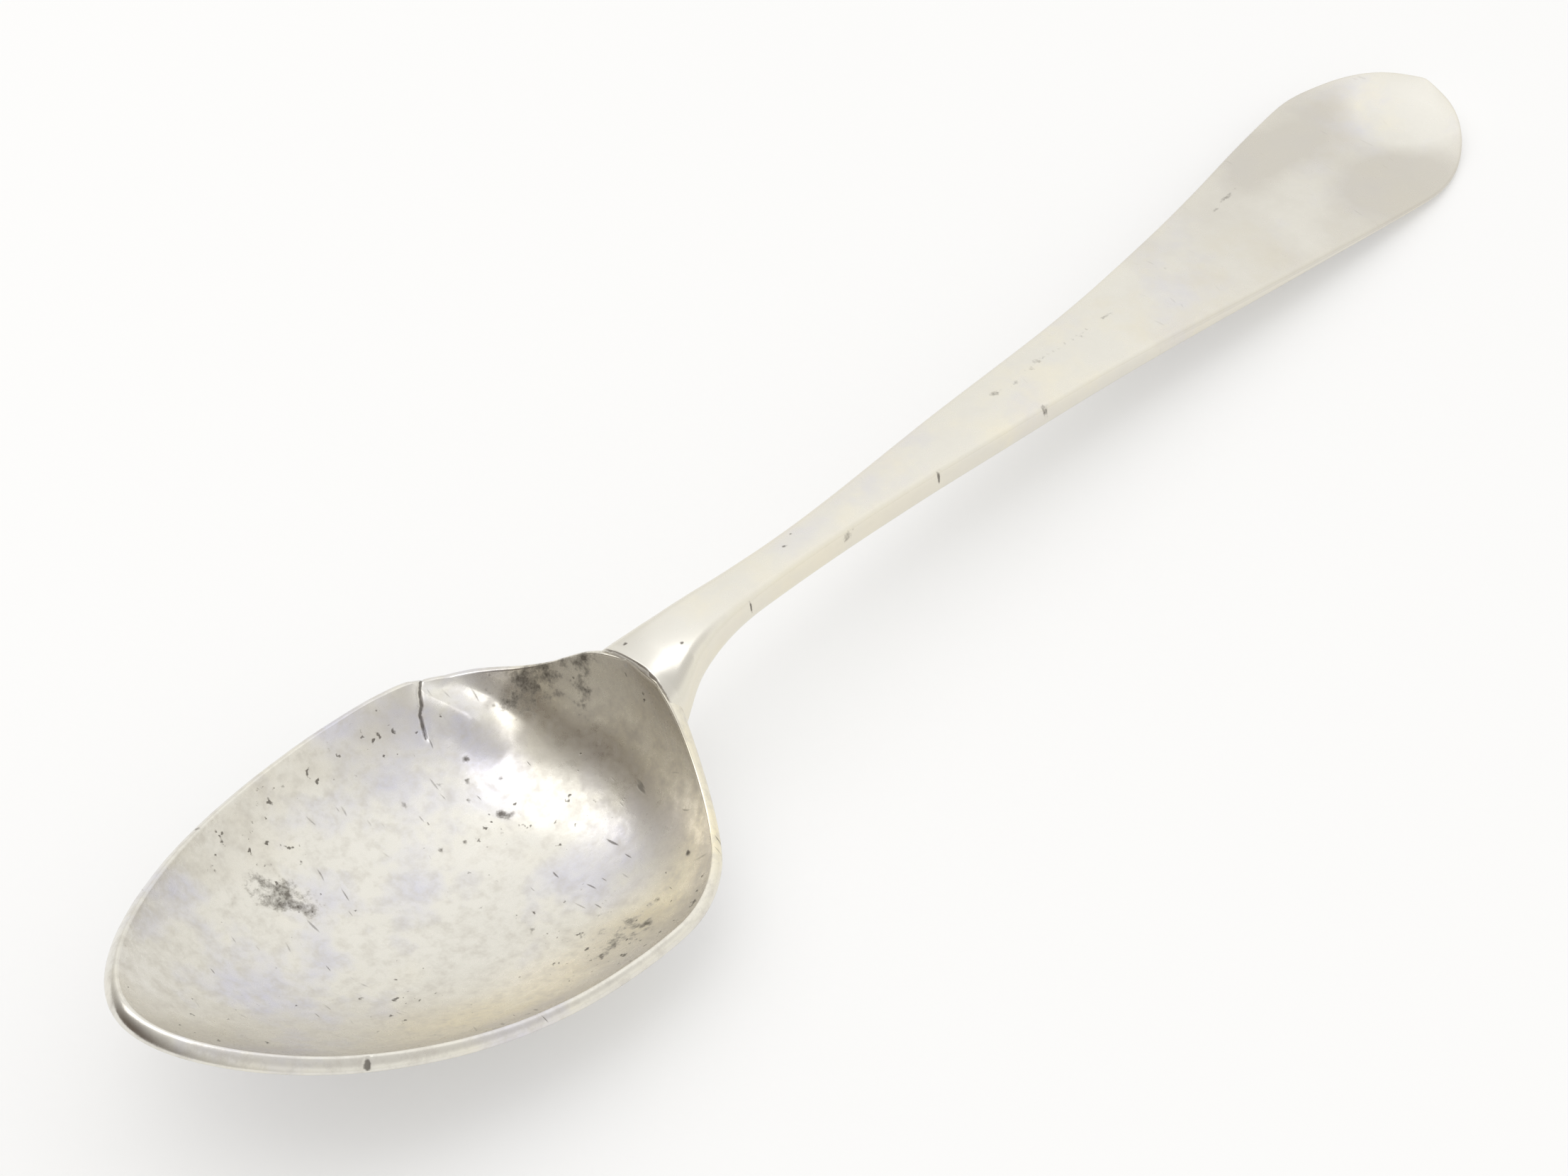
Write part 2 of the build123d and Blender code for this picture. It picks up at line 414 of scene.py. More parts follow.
# Columns of the bowl's grid, closer together at the tear and the nick: two angles in degrees and how many
BOWL_COLUMNS = [(74, 94, 100), (94, 224, 138), (224, 227, 20), (227, 434, 219)]
BOWL_ROWS = 81  # from the deepest point to the rim, on the back and again on the inside
ROW_SPREAD = math.radians(80)  # rows lie as the sine of even steps up to this angle
RIM_ROWS = 10
# Powers of the way out to the rim, by which the wall thickens at the heel, the tip and the rim
HEEL_POWER, TIP_POWER, RIM_POWER = 3, 5, 8
# Powers of it by which the stiff rim and the rubbed rim come in
STIFF_POWER, RUBBED_POWER = 6, 60


def bowl_sheet(s, turn, t, over):
    """The bowl as it left the hammer, in its own axes, for the angles turn round the rim, the shares t of
    the way out to it, and the angles over its rounding. The back is the rim's plan scaled by t, with its
    height from the dish. The inside is the back moved along its normal by the wall, which grows towards
    heel, tip and rim as powers of t. The rim is half an ellipse from the one to the other."""
    xo, yo = rim_plan(s, turn)
    x, y = t * xo, t * yo
    back = np.stack([x, y, dish(s, x, y, HAIR)], -1)
    back[-1, :, 2] = rim_lift(s, xo[0]) - s.rim_round
    bend = (turn + math.pi) % (2 * math.pi) - math.pi
    at_heel, at_tip = bell(bend / s.heel_spread), bell((math.pi - np.abs(bend)) / s.tip_spread)
    wall = s.wall + s.heel_wall * at_heel * t**HEEL_POWER + s.tip_wall * at_tip * t**TIP_POWER
    wall = wall + s.rim_wall * t**RIM_POWER
    inside = back - wall[..., None] * dish_normal(s, back)
    up = back[-1] - back[-2]
    up /= np.linalg.norm(up, axis=-1, keepdims=True)
    middle, half = (back[-1] + inside[-1]) / 2, (back[-1] - inside[-1]) / 2
    rim = middle + half * np.cos(over)[..., None] + s.rim_round * np.sin(over)[..., None] * up
    grid = np.concatenate([back, rim, inside[::-1]])
    grid[..., 1] *= pinched(s, grid[..., 0])
    return grid


def bowl_surface(s):
    """The worn bowl as one closed grid, and its marks. Columns are angles round the rim. Rows run from
    the back's deepest point out to the rim, over the rim's rounding, and down the inside to its deepest
    point. Dents, tear and nick move the hammered sheet up and down, and what would lie under the table is
    worn flat."""
    stretches = [np.linspace(*part, endpoint=False) for part in BOWL_COLUMNS]
    turn = np.radians(np.concatenate(stretches))[None, :]
    t = (np.sin(np.linspace(0, ROW_SPREAD, BOWL_ROWS)) / math.sin(ROW_SPREAD))[:, None]
    over = np.linspace(0, math.pi, RIM_ROWS + 2)[1:-1, None]

    def rows(back, rim, inside):
        """Values for the back, the rim and the inside, in the order of the grid's rows."""
        face, edge = 0 * t * turn, 0 * over * turn
        return np.concatenate([back + face, rim + edge, (inside + face)[::-1]])

    grid = bowl_sheet(s, turn, t, over)
    x, y = grid[..., 0] / MM, grid[..., 1] / MM
    front = np.arange(len(grid))[:, None] > BOWL_ROWS
    tear = np.where(front, stroke(x, y, TEAR, TEAR_WIDTH), 0)
    nick = rows(0, np.sin(over) ** 2, 0) * bell((turn - RIM_NICK) / RIM_NICK_SPREAD)
    stiff = rows(t**STIFF_POWER, 1, t**STIFF_POWER)
    grid[..., 2] += bowl_dents(x, y, stiff) - (TEAR_DEPTH * tear + RIM_NICK_DEPTH * nick) * MM
    # Painted shade, laid on as dull grey metal: a darker band under the near lip, a darker far wall and a
    # darker blot on the near wall
    near_lip_shade = ramp(t, *NEAR_LIP_SHADE) * ramp(-np.sin(turn + NEAR_LIP_SHADE_TURN), *NEAR_SIDE)
    far_wall_shade = FAR_WALL_SHADE_AMOUNT * ramp(t, *FAR_WALL_SHADE) * ramp(np.sin(turn), *FAR_SIDE)
    dull = np.where(front, blots(x, y, NEAR_WALL_SHADE_BLOTS), 0)
    dull = np.maximum(dull, rows(0, 0, np.maximum(near_lip_shade, far_wall_shade)))
    points = to_part(s, grid[..., 0], grid[..., 1], grid[..., 2])
    points[..., 2] = np.maximum(points[..., 2], 0)
    return points, {
        "grime": np.where(front, bowl_grime(x, y), 0) + nick,
        "worn": rows(t**RUBBED_POWER, 1, t**RUBBED_POWER),
        "straw": np.where(front, bowl_straw(x, y), 0),
        "dull": dull,
    }


# Shape of the stem, in millimetres. Stations are counted from the top of the bowl's heel

# Station, far edge and near edge in plan
STEM_EDGES = [
    (-3.5, 2.5, -2.5),
    (-1.2, 3.9, -2.95),
    (-0.4, 3.6, -2.88),
    (0.5, 3.1, -2.45),
    (1.6, 2.66, -2.05),
    (3.0, 2.3, -1.72),
    (5.0, 1.97, -1.46),
    (8.0, 1.7, -1.28),
    (12.0, 1.58, -1.22),
    (16.0, 1.66, -1.32),
    (20.0, 1.88, -1.5),
    (25.0, 2.24, -1.82),
    (30.0, 2.52, -2.28),
    (36.0, 2.68, -2.68),
    (43.0, 3.05, -3.33),
    (50.0, 3.82, -4.15),
    (58.0, 4.85, -5.1),
    (66.0, 6.2, -5.95),
    (72.0, 7.35, -6.55),
    (80.0, 8.2, -6.8),
]
# How the far and the near edge close on the tip: the powers p and q of (1 - share^p)^q along the end
END_POWERS = [(2.4, 0.6), (2.0, 0.46)]
# Station and height of the top's middle, and of the underside's
STEM_TOP = [
    (-6.0, 9.61),
    (-0.8, 9.73),
    (0.0, 9.9),
    (1.0, 10.16),
    (2.0, 10.36),
    (4.5, 10.44),
    (9.0, 9.81),
    (37.5, 6.56),
    (68.0, 2.66),
    (74.0, 1.66),
    (78.0, 1.11),
    (80.0, 1.26),
    (82.5, 2.06),
    (84.9, 2.76),
    (90.0, 4.06),
]
STEM_BACK = [
    (-7.0, 0.3),
    (-6.0, 0.82),
    (-4.0, 1.95),
    (-2.5, 3.2),
    (-1.0, 5.1),
    (0.5, 6.7),
    (3.0, 7.6),
    (6.5, 8.1),
    (12.0, 7.35),
    (37.5, 4.55),
    (66.0, 1.6),
    (74.0, 0.62),
    (78.0, 0.1),
    (80.0, 0.25),
    (82.5, 1.0),
    (84.9, 1.7),
    (90.0, 3.0),
]
# Station and size of the rounding along the edges
STEM_ROUND = [(-6, 0.3), (-1.5, 0.8), (1.5, 0.95), (4, 0.75), (9, 0.42), (40, 0.34), (90, 0.3)]
ROUND_EASE = 1.0
ROUND_SHARE = 0.46  # most that the rounding takes of the thickness
# Station and reach of the easing, along the edges and along the top and underside
EDGE_EASE = [(-4, 0.6), (6, 1.6), (20, 4), (55, 4), (70, 7)]
SIDE_EASE = [(-4, 1), (4, 1.5), (10, 2.8), (30, 5), (70, 5), (79, 2)]
BLADE_RUN = (20, 60)  # stations between which the neck becomes the blade
TWIST_RUN = (30, 75)  # stations between which the twist comes in
TOP_CROWN = (0.16, 0.1)  # how far the top falls to its edges, and how much more on the blade
BACK_CROWN = (0.06, 0.3)  # how far the underside rises to its edges, and how much more on the blade
LEAST_THICKNESS = 0.05
# The web at the heel: station and share of its fall, and the fall's curvature per metre on the far and
# near side
WEB_FADE = [(-0.5, 1), (1.5, 0.3), (5, 0)]
WEB_FALL = (50, 195)
# The web's lap over the rim: where it starts to dive and has dived, how that line curves per metre, the
# share of the rim's wall in it, and the shares of the wall at which it lies before and after
LAP_RUN = (0.05, -0.25)
LAP_CURVE = 50
LAP_RIM = 0.9
LAP_SHARES = (1.04, 0.5)
HEEL_LEVEL = 7.0  # height at which the stem's top meets the bowl's wall
# Rows of the stem's grid in the drop, the neck, the blade and the end, and columns across each side
DROP_ROWS, NECK_ROWS, BLADE_ROWS, END_ROWS = 28, 170, 280, 80
STEM_COLUMNS = 57
NECK_END = 9.0  # station up to which the rows lie close

# Marks of use on the stem, with painted shade and a painted highlight, as station and place across in
# millimetres

# Nicks on the near edge: place and half width
STEM_NICKS = [(33.8, -2.5, 0.14), (23.9, -1.85, 0.11), (6.9, -1.4, 0.09)]
STEM_NICK_DEPTH = 0.16
NICK_REACH = 2.0  # how far a nick and its dirt reach in from the edge, in half widths
NICK_GRIME_REACH = 2.2
STEM_PITS = [(11.7, 0.4), (1.6, -0.7), (-0.2, 2.2), (12.9, 0.9)]
PIT_SIZE = (0.13, 0.1)
STEM_SMEAR = [(0.42, 15.6, -1.4, 0.7, 0.2, 0)]
STEM_LINES = [
    [(31.8, 0.8), (34.0, 0.3), (37.2, 0.75), (40.5, 0.6), (44.8, 0.55)],
    [(50.4, 0.8), (51.4, 1.05), (52.4, 1.0)],
    [(59.4, 2.6), (61.2, 3.0), (63.4, 3.45)],
]
STEM_LINE_GRIME = 0.3
STEM_LINE_WIDTH = 0.3
# Dull metal on the top, partly scuffing and partly painted shade that grows towards the end: station
# and amount, and blots: the first takes it away as a painted highlight at the end, the others add painted
# shade beside it
STEM_DULL_AND_SHADE = [(36, 0.8), (55, 1.0), (70, 1.1), (85, 1.05)]
STEM_SHADE_AND_HIGHLIGHT_SPOTS = [
    (-0.75, 81.6, 0.3, 4.0, 3.6, 0),
    (0.3, 74.5, -3.8, 5.5, 2.8, 0),
    (0.3, 69.0, 4.0, 8.0, 2.0, 0.1),
]
# How far in from the edges bright wear and straw film reach, and the film's amount by station
EDGE_WEAR = 0.3
EDGE_STRAW = 0.5
STEM_STRAW = [(10, 0.7), (30, 0.3)]


def stem_plan(s, b, u, v):
    """Plan of stem points in the part's axes: station u and place v across, turned about the top of the
    heel."""
    heel = to_part(b, b.heel_reach, 0, rim_lift(b, b.heel_reach))
    ct, st = math.cos(s.turn), math.sin(s.turn)
    return heel[0] + u * ct - v * st, heel[1] + u * st + v * ct


def bowl_station(b, px, level):
    """Station in the bowl's own axes of points at px and a height level in the part's axes. The lean is
    small, so it is px less the place of the bowl's middle, less the height over that middle times the
    lean's sine."""
    middle = to_part(b, 0, 0, 0)
    return px - middle[0] - (level - middle[2]) * math.sin(b.tilt)


def stem_edges(s, u):
    """Far and near edge of the stem at station u: a half round drop, eased runs through the read
    stations, and an end where both edges close on the skewed tip as (1 - share^p)^q of the way along it."""
    half = s.drop_width / 2
    drop = np.sqrt(np.maximum(1 - (np.minimum(u + s.drop_reach - half, 0) / half) ** 2, 0))
    share = ramp(u, s.end_start, s.length)
    table = np.array(STEM_EDGES)
    edges = []
    for column, (p, q) in enumerate(END_POWERS, start=1):
        edge = faired(u, table[:, [0, column]], runs(u / MM, EDGE_EASE) * MM) * drop
        edges.append(s.end_skew + (edge - s.end_skew) * (1 - share**p) ** q)
    return edges


def stem_sides(s, b, u, v, c):
    """Heights of the stem's top and underside at its plan points, with c running from -1 to 1 across it.
    The top is its middle's line less a crown as c squared and less the web's fall as v squared. The
    underside is its own line plus a crown. Both lean with the twist. At the heel the top is held to the
    bowl's wall: it laps over the rim to just past the inner face, and then dives into the middle of the
    sheet."""
    station = u / MM
    reach = runs(station, SIDE_EASE) * MM
    blade = ramp(station, *BLADE_RUN)
    lay = s.twist * ramp(station, *TWIST_RUN) * v
    web = runs(station, WEB_FADE) * np.where(v > 0, *WEB_FALL) * v * v
    top = faired(u, STEM_TOP, reach) - (TOP_CROWN[0] + TOP_CROWN[1] * blade) * c**2 * MM - web + lay
    whole = b.wall + b.heel_wall + LAP_RIM * b.rim_wall
    over, buried = LAP_SHARES[0] * whole, LAP_SHARES[1] * b.wall
    dive = ramp((u + whole + LAP_CURVE * v * v) / MM, *LAP_RUN)
    px, py = stem_plan(s, b, u, v)
    x = bowl_station(b, px, HEEL_LEVEL * MM)
    wall_face = dish(b, x, py / pinched(b, x), -(over + (buried - over) * dive))
    top = np.minimum(top, to_part(b, 0, 0, 0)[2] - x * math.sin(b.tilt) + wall_face)
    back = faired(u, STEM_BACK, reach) + (BACK_CROWN[0] + BACK_CROWN[1] * blade) * c**2 * MM + lay
    return top, np.minimum(np.maximum(back, 0), top - LEAST_THICKNESS * MM)


def stem_grime(x, y):
    """How much dirt lies at a plan point of the stem in millimetres: nicks on the near edge, pits, a
    smear and worn lines, at most 1."""
    nicks = [(1, a, b, half, NICK_GRIME_REACH * half, 0) for a, b, half in STEM_NICKS]
    pits = [(1, a, b, *PIT_SIZE, 0) for a, b in STEM_PITS]
    lines = sum(STEM_LINE_GRIME * stroke(x, y, path, STEM_LINE_WIDTH) for path in STEM_LINES)
    return np.minimum(blots(x, y, nicks + pits + STEM_SMEAR) + lines, 1)


def stem_surface(s, b):
    """The stem as one closed grid, and its marks. Rows are stations along it, and columns run across the
    top and back along the underside. The edge's rounding takes r - sqrt(r^2 - (r - d)^2) off both sides,
    at the distance d in from the plan's edge. The last row closes to one point."""
    half_drop = s.drop_width / 2
    quarter = math.pi / 2
    u = np.concatenate(
        [
            -s.drop_reach + half_drop * (1 - np.cos(np.linspace(0, quarter, DROP_ROWS))),
            np.linspace(-s.drop_reach + half_drop, NECK_END * MM, NECK_ROWS)[1:],
            np.linspace(NECK_END * MM, s.end_start, BLADE_ROWS)[1:-1],
            s.end_start + (s.length - s.end_start) * np.sin(np.linspace(0, quarter, END_ROWS)),
        ]
    )[:, None]
    c = np.sin(np.linspace(-quarter, quarter, STEM_COLUMNS))[None, :]
    far, near = stem_edges(s, u)
    v = (far + near) / 2 + (far - near) / 2 * c
    far_slope, near_slope = (np.gradient(edge[:, 0], u[:, 0])[:, None] for edge in (far, near))
    d = np.minimum((far - v) / np.sqrt(1 + far_slope**2), (v - near) / np.sqrt(1 + near_slope**2))
    top, back = stem_sides(s, b, u, v, c)
    r = np.minimum(faired(u, STEM_ROUND, ROUND_EASE * MM), ROUND_SHARE * (top - back))
    ease = r - np.sqrt(np.maximum(r * r - np.maximum(r - d, 0) ** 2, 0))
    x, y = u / MM, v / MM
    nicks = [(STEM_NICK_DEPTH, *place, half, NICK_REACH * half, 0) for *place, half in STEM_NICKS]
    height = top - ease - blots(x, y, nicks) * MM

    def wrapped(over, under):
        """Values across the top and then back along the underside."""
        return np.concatenate([over, under[:, ::-1]], 1)

    px, py = stem_plan(s, b, u, v)
    points = np.stack([wrapped(px, px), wrapped(py, py), wrapped(height, back + ease)], -1)
    points[-1] = points[-1].mean(axis=0)
    inwards = np.maximum(d, 0) / MM
    edge = np.exp(-inwards / EDGE_WEAR)
    straw = np.exp(-inwards / EDGE_STRAW) * runs(x, STEM_STRAW)
    dirt = stem_grime(x, y)
    # The top is greyed by scuffing and by painted shade near the end, and lit there by a painted highlight
    dull = runs(x, STEM_DULL_AND_SHADE) + blots(x, y, STEM_SHADE_AND_HIGHLIGHT_SPOTS)
    return points, {
        "grime": wrapped(dirt, 0 * dirt),
        "worn": wrapped(edge, edge),
        "straw": wrapped(straw, straw),
        "dull": wrapped(dull, 0 * dull),
    }


# Shape of the solder bead

SEAM_TRIES = 4001  # stations tried along the drop's edges
SEAM_LAST = 0.6  # last station in millimetres
SEAM_BELOW_RIM = 0.3  # millimetres below the rim's line at which the bead stops
SEAT_LEVEL = 6.0  # millimetres over the table at which the drop's edge leaves the bowl's back
SEAM_ROWS = 261
SEAM_COLUMNS = 12
SEAM_END_POWER = 30  # how suddenly the bead closes at its ends
# Lumps along the bead: share of its radius, radians over half its length, and start
SEAM_LUMPS = [(0.18, 31, 0), (0.12, 57, 1)]


def seam_surface(b, s, bead):
    """The solder bead: a circle carried along the edge of the drop where it meets the bowl's back. The
    circle closes to a point at both ends, and its axes are the way out from the bowl's middle and the way
    across the path. Its radius goes as sqrt(1 - q^30), with q from -1 to 1 along the path, and swells in
    lumps."""
    u = np.linspace(-s.drop_reach, SEAM_LAST * MM, SEAM_TRIES)
    sides = []
    for v in stem_edges(s, u):
        px, py = stem_plan(s, b, u, v)
        x = bowl_station(b, px, SEAT_LEVEL * MM)
        z = dish(b, x, py / pinched(b, x), 0.0)
        keep = np.isfinite(z) & (z < rim_lift(b, x) - SEAM_BELOW_RIM * MM)
        sides.append(np.stack([x, py, z], -1)[keep])
    path = np.concatenate([sides[0][::-1], sides[1][1:]])
    run = np.concatenate([[0], np.cumsum(np.linalg.norm(np.diff(path, axis=0), axis=1))])
    even = np.linspace(0, run[-1], SEAM_ROWS)
    path = to_part(b, *(np.interp(even, run, path[:, k]) for k in range(3)))
    along = np.gradient(path, axis=0)
    along /= np.linalg.norm(along, axis=1)[:, None]
    out = path - to_part(b, 0, 0, axis_height(b))
    out -= np.sum(out * along, 1)[:, None] * along
    out /= np.linalg.norm(out, axis=1)[:, None]
    across = np.cross(along, out)
    q = np.linspace(-1, 1, SEAM_ROWS)
    lumps = 1 + sum(swell * np.sin(rate * q + start) for swell, rate, start in SEAM_LUMPS)
    radius = (bead * np.sqrt(np.maximum(1 - q**SEAM_END_POWER, 0)) * lumps)[:, None, None]
    ring = np.linspace(0, 2 * math.pi, SEAM_COLUMNS, endpoint=False)[None, :, None]
    return path[:, None] + radius * (np.cos(ring) * out[:, None] + np.sin(ring) * across[:, None])


MERGE = 1e-7  # metres, points closer than this become one


def add_piece(name, node, grid, values, material):
    """Makes a closed mesh from a grid of points whose columns wrap round. Rows that shrink to a point are
    merged, faces are turned outwards by the sign of the enclosed volume, and each value becomes a point
    attribute."""
    rows, columns = grid.shape[:2]
    index = np.arange(rows * columns).reshape(rows, columns)
    nxt = np.roll(index, -1, axis=1)
    quads = np.stack([index[:-1], nxt[:-1], nxt[1:], index[1:]], -1).reshape(-1, 4)
    points = grid.reshape(-1, 3)
    a, b, c, d = (points[quads[:, k]] for k in range(4))
    volume = np.sum(np.cross(b - a, c - a) * a) + np.sum(np.cross(c - a, d - a) * a)
    if volume < 0:
        quads = quads[:, ::-1]
    mesh = bpy.data.meshes.new(name)
    mesh.from_pydata(points.tolist(), [], quads.tolist())
    for key, value in values.items():
        layer = mesh.attributes.new(key, "FLOAT", "POINT")
        layer.data.foreach_set("value", np.ascontiguousarray(value, dtype=np.float32).ravel())
    tidy = bmesh.new()
    tidy.from_mesh(mesh)
    bmesh.ops.remove_doubles(tidy, verts=tidy.verts, dist=MERGE)
    bmesh.ops.holes_fill(tidy, edges=[e for e in tidy.edges if e.is_boundary], sides=0)
    tidy.to_mesh(mesh)
    tidy.free()
    mesh.shade_smooth()
    mesh.materials.append(material)
    piece = bpy.data.objects.new(name, mesh)
    bpy.context.scene.collection.objects.link(piece)
    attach(piece, "root")
    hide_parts(node)
    return piece


# Materials

# Sockets of a Mix node that mixes colours
FACTOR, FIRST, SECOND, MIXED = 0, 6, 7, 2
FILM_SHIFT = (31 * MM, 17 * MM, 0.0)  # takes one tarnish away from the other
SCRATCH_SPACINGS = (0.7, 0.9)  # millimetres between scratches in the first and the second direction
SCRATCH_CROSSING = 1.2  # radians between the two directions
SCRATCH_BEND = (3 * MM, 3 * MM, 0.0)
SCRATCH_DRAW = (1.0, 0.16, 1.0)  # scale that draws a cell out long
FLECK_SIZE = 60.0  # millimetres
FLECK_DARK = 0.985  # share of its colour that the card keeps in its darkest flecks


def add_node(tree, kind, inputs, **settings):
    """Adds one node: settings are its own properties, and inputs are values or the sockets that feed it."""
    made = tree.nodes.new(kind)
    for key, value in settings.items():
        setattr(made, key, value)
    for key, value in inputs.items():
        if isinstance(value, bpy.types.NodeSocket):
            tree.links.new(value, made.inputs[key])
        else:
            made.inputs[key].default_value = value
    return made


def new_material(name):
    """A node material with only its output in it."""
    material = bpy.data.materials.new(name)
    material.use_nodes = True
    tree = material.node_tree
    tree.nodes.clear()
    return material, tree, tree.nodes.new("ShaderNodeOutputMaterial")


def per_mm(size):
    """Scale of a pattern whose features are size millimetres across, on Object coordinates in metres."""
    return 1 / (size * MM)


def rgba(value):
    """A colour property as a socket value."""
    return (*value, 1.0)


def scratches(tree, place, wear):
    """Short scratches in two directions: the cells of a plan pattern drawn out long and bent a little by
    a slow noise. Only the middles of the cells show, in fewer than half of the cells, and longer in some
    than others."""
    slow = add_node(tree, "ShaderNodeTexNoise", {"Vector": place, "Scale": per_mm(5.0), "Detail": 1.0})
    bent = add_node(
        tree,
        "ShaderNodeVectorMath",
        {0: slow.outputs["Color"], 1: SCRATCH_BEND, 2: place},
        operation="MULTIPLY_ADD",
    ).outputs["Vector"]
    made = []
    for k, spacing in enumerate(SCRATCH_SPACINGS):
        turn = wear["scratch_turn"] + k * SCRATCH_CROSSING
        drawn = add_node(
            tree,
            "ShaderNodeMapping",
            {"Vector": bent, "Rotation": (0.0, 0.0, turn), "Scale": SCRATCH_DRAW},
        )
        cells = add_node(
            tree,
            "ShaderNodeTexVoronoi",
            {"Vector": drawn.outputs["Vector"], "Scale": per_mm(spacing)},
            voronoi_dimensions="2D",
        )
        chance = add_node(tree, "ShaderNodeSeparateColor", {"Color": cells.outputs["Color"]})
        reach = add_node(
            tree,
            "ShaderNodeMapRange",
            {"Value": chance.outputs["Red"], "From Min": 0.55, "From Max": 1.0, "To Min": 0.0, "To Max": 0.1},
        )
        inside = add_node(
            tree,
            "ShaderNodeMath",
            {0: reach.outputs["Result"], 1: cells.outputs["Distance"]},
            operation="SUBTRACT",
        )
        shown = add_node(
            tree,
            "ShaderNodeMapRange",
            {"Value": inside.outputs[0], "From Min": 0.0, "From Max": 0.04, "To Max": wear["scratch"]},
        )
        made.append(shown.outputs["Result"])
    return add_node(tree, "ShaderNodeMath", {0: made[0], 1: made[1]}, operation="MAXIMUM").outputs[0]


def silver_nodes(name, colours, wear):
    """Silver worked by hand and worn for a long time. Clean metal is pale and warm, thin tarnish tints it
    lilac or straw in slow clouds, fine scuffing greys it and makes it rougher, and dirt stays in pits and
    scratches. Dull grey from the mesh is partly scuffing and partly painted shade, with a painted highlight."""
    material, tree, out = new_material(name)
    place = add_node(tree, "ShaderNodeTexCoord", {}).outputs["Object"]
    moved = add_node(tree, "ShaderNodeMapping", {"Vector": place, "Location": FILM_SHIFT})
    moved = moved.outputs["Vector"]
    # What the mesh carries
    mark = {}
    for key in ("grime", "worn", "straw", "dull"):
        mark[key] = add_node(tree, "ShaderNodeAttribute", {}, attribute_name=key).outputs["Fac"]
    # Noises: where they are read, width of a feature in millimetres, detail and roughness
    noise = {}
    for key, vector, size, detail, roughness in (
        ("cloud", place, 7.0, 4.0, 0.62),  # slow tarnish, as wide as a fingertip's touch
        ("film", moved, 9.0, 5.0, 0.6),  # slower tarnish, apart from the first
        ("grain", place, 0.9, 6.0, 0.7),  # fine scuffing
        ("speck", moved, 0.55, 3.0, 0.5),  # its peaks are pits a fifth of a millimetre wide
        ("facet", place, 2.6, 2.0, 0.5),  # planishing marks
    ):
        inputs = {"Vector": vector, "Scale": per_mm(size), "Detail": detail, "Roughness": roughness}
        noise[key] = add_node(tree, "ShaderNodeTexNoise", inputs).outputs["Fac"]
    # The dull metal carries painted shade on the bowl's walls, and painted shade and a painted highlight near
    # the stem's end
    # Dull metal and dirt as given on the mesh, with edges broken up by the tarnish and the scuffing
    broken = {}
    for key, value, amount in (("dull", noise["film"], wear["ragged"]), ("grime", noise["grain"], 1.4)):
        inputs = {0: value, 1: amount, 2: mark[key]}
        broken[key] = add_node(tree, "ShaderNodeMath", inputs, operation="MULTIPLY_ADD").outputs[0]
    # Masks: what is read, its range, and what that range is turned to
    mask = {}
    for key, value, low, high, least, most in (
        ("lilac", noise["cloud"], 0.5, 0.68, 0.0, wear["lilac"]),
        ("straw", noise["film"], 0.5, 0.7, 0.0, wear["straw"]),
        ("patchy", noise["cloud"], 0.36, 0.6, 0.45, 1.0),  # thins the straw film that is given on the mesh
        ("scuff", noise["grain"], 0.47, 0.66, 0.0, wear["scuff"]),
        ("dull", broken["dull"], 1.2, 1.5, 0.0, wear["dull"]),
        ("grime", broken["grime"], 1.0, 1.3, 0.0, 0.75),
        ("group", noise["film"], 0.4, 0.68, -0.1, 0.06),  # gathers the pits in groups
        ("thin", noise["cloud"], 0.48, 0.6, 0.0, 1.0),  # leaves scratches out in places
        ("rough", noise["grain"], 0.3, 0.7, wear["smooth"], wear["rough"]),
    ):
        inputs = {"Value": value, "From Min": low, "From Max": high, "To Min": least, "To Max": most}
        mask[key] = add_node(tree, "ShaderNodeMapRange", inputs).outputs["Result"]
    film = add_node(tree, "ShaderNodeMath", {0: mark["straw"], 1: mask["patchy"]}, operation="MULTIPLY")
    straw = add_node(tree, "ShaderNodeMath", {0: mask["straw"], 1: film.outputs[0]}, operation="MAXIMUM")
    # Pits stay off the rims and edges, which are rubbed bright
    specks = add_node(tree, "ShaderNodeMath", {0: noise["speck"], 1: mask["group"]}, operation="ADD")
    pits = add_node(
        tree,
        "ShaderNodeMapRange",
        {"Value": specks.outputs[0], "From Min": 0.655, "From Max": 0.705, "To Max": wear["pits"]},
    )
    inner = add_node(tree, "ShaderNodeMath", {0: 1.0, 1: mark["worn"]}, operation="SUBTRACT")
    pits = add_node(
        tree, "ShaderNodeMath", {0: pits.outputs["Result"], 1: inner.outputs[0]}, operation="MULTIPLY"
    )
    hairs = scratches(tree, place, wear)
    hairs = add_node(tree, "ShaderNodeMath", {0: hairs, 1: mask["thin"]}, operation="MULTIPLY")
    dirt = mask["grime"]
    for value in (pits.outputs[0], hairs.outputs[0]):
        dirt = add_node(tree, "ShaderNodeMath", {0: dirt, 1: value}, operation="MAXIMUM").outputs[0]
    # Layers of colour, from the clean metal up
    tint = rgba(colours.silver)
    for amount, layer in (
        (mask["lilac"], colours.lilac),
        (straw.outputs[0], colours.straw),
        (mask["scuff"], colours.scuff_and_shade_grey),
        # dull metal: painted shade, on the stem partly scuffing, and a painted highlight where it is taken
        # away
        (mask["dull"], colours.scuff_and_shade_grey),
        (dirt, colours.grime),
    ):
        inputs = {FACTOR: amount, FIRST: tint, SECOND: rgba(layer)}
        tint = add_node(tree, "ShaderNodeMix", inputs, data_type="RGBA").outputs[MIXED]
    # Rims and edges are smoother, dirt is rougher
    rough = mask["rough"]
    for value, amount in ((mark["worn"], -0.1), (dirt, 0.3)):
        inputs = {0: value, 1: amount, 2: rough}
        rough = add_node(tree, "ShaderNodeMath", inputs, operation="MULTIPLY_ADD").outputs[0]
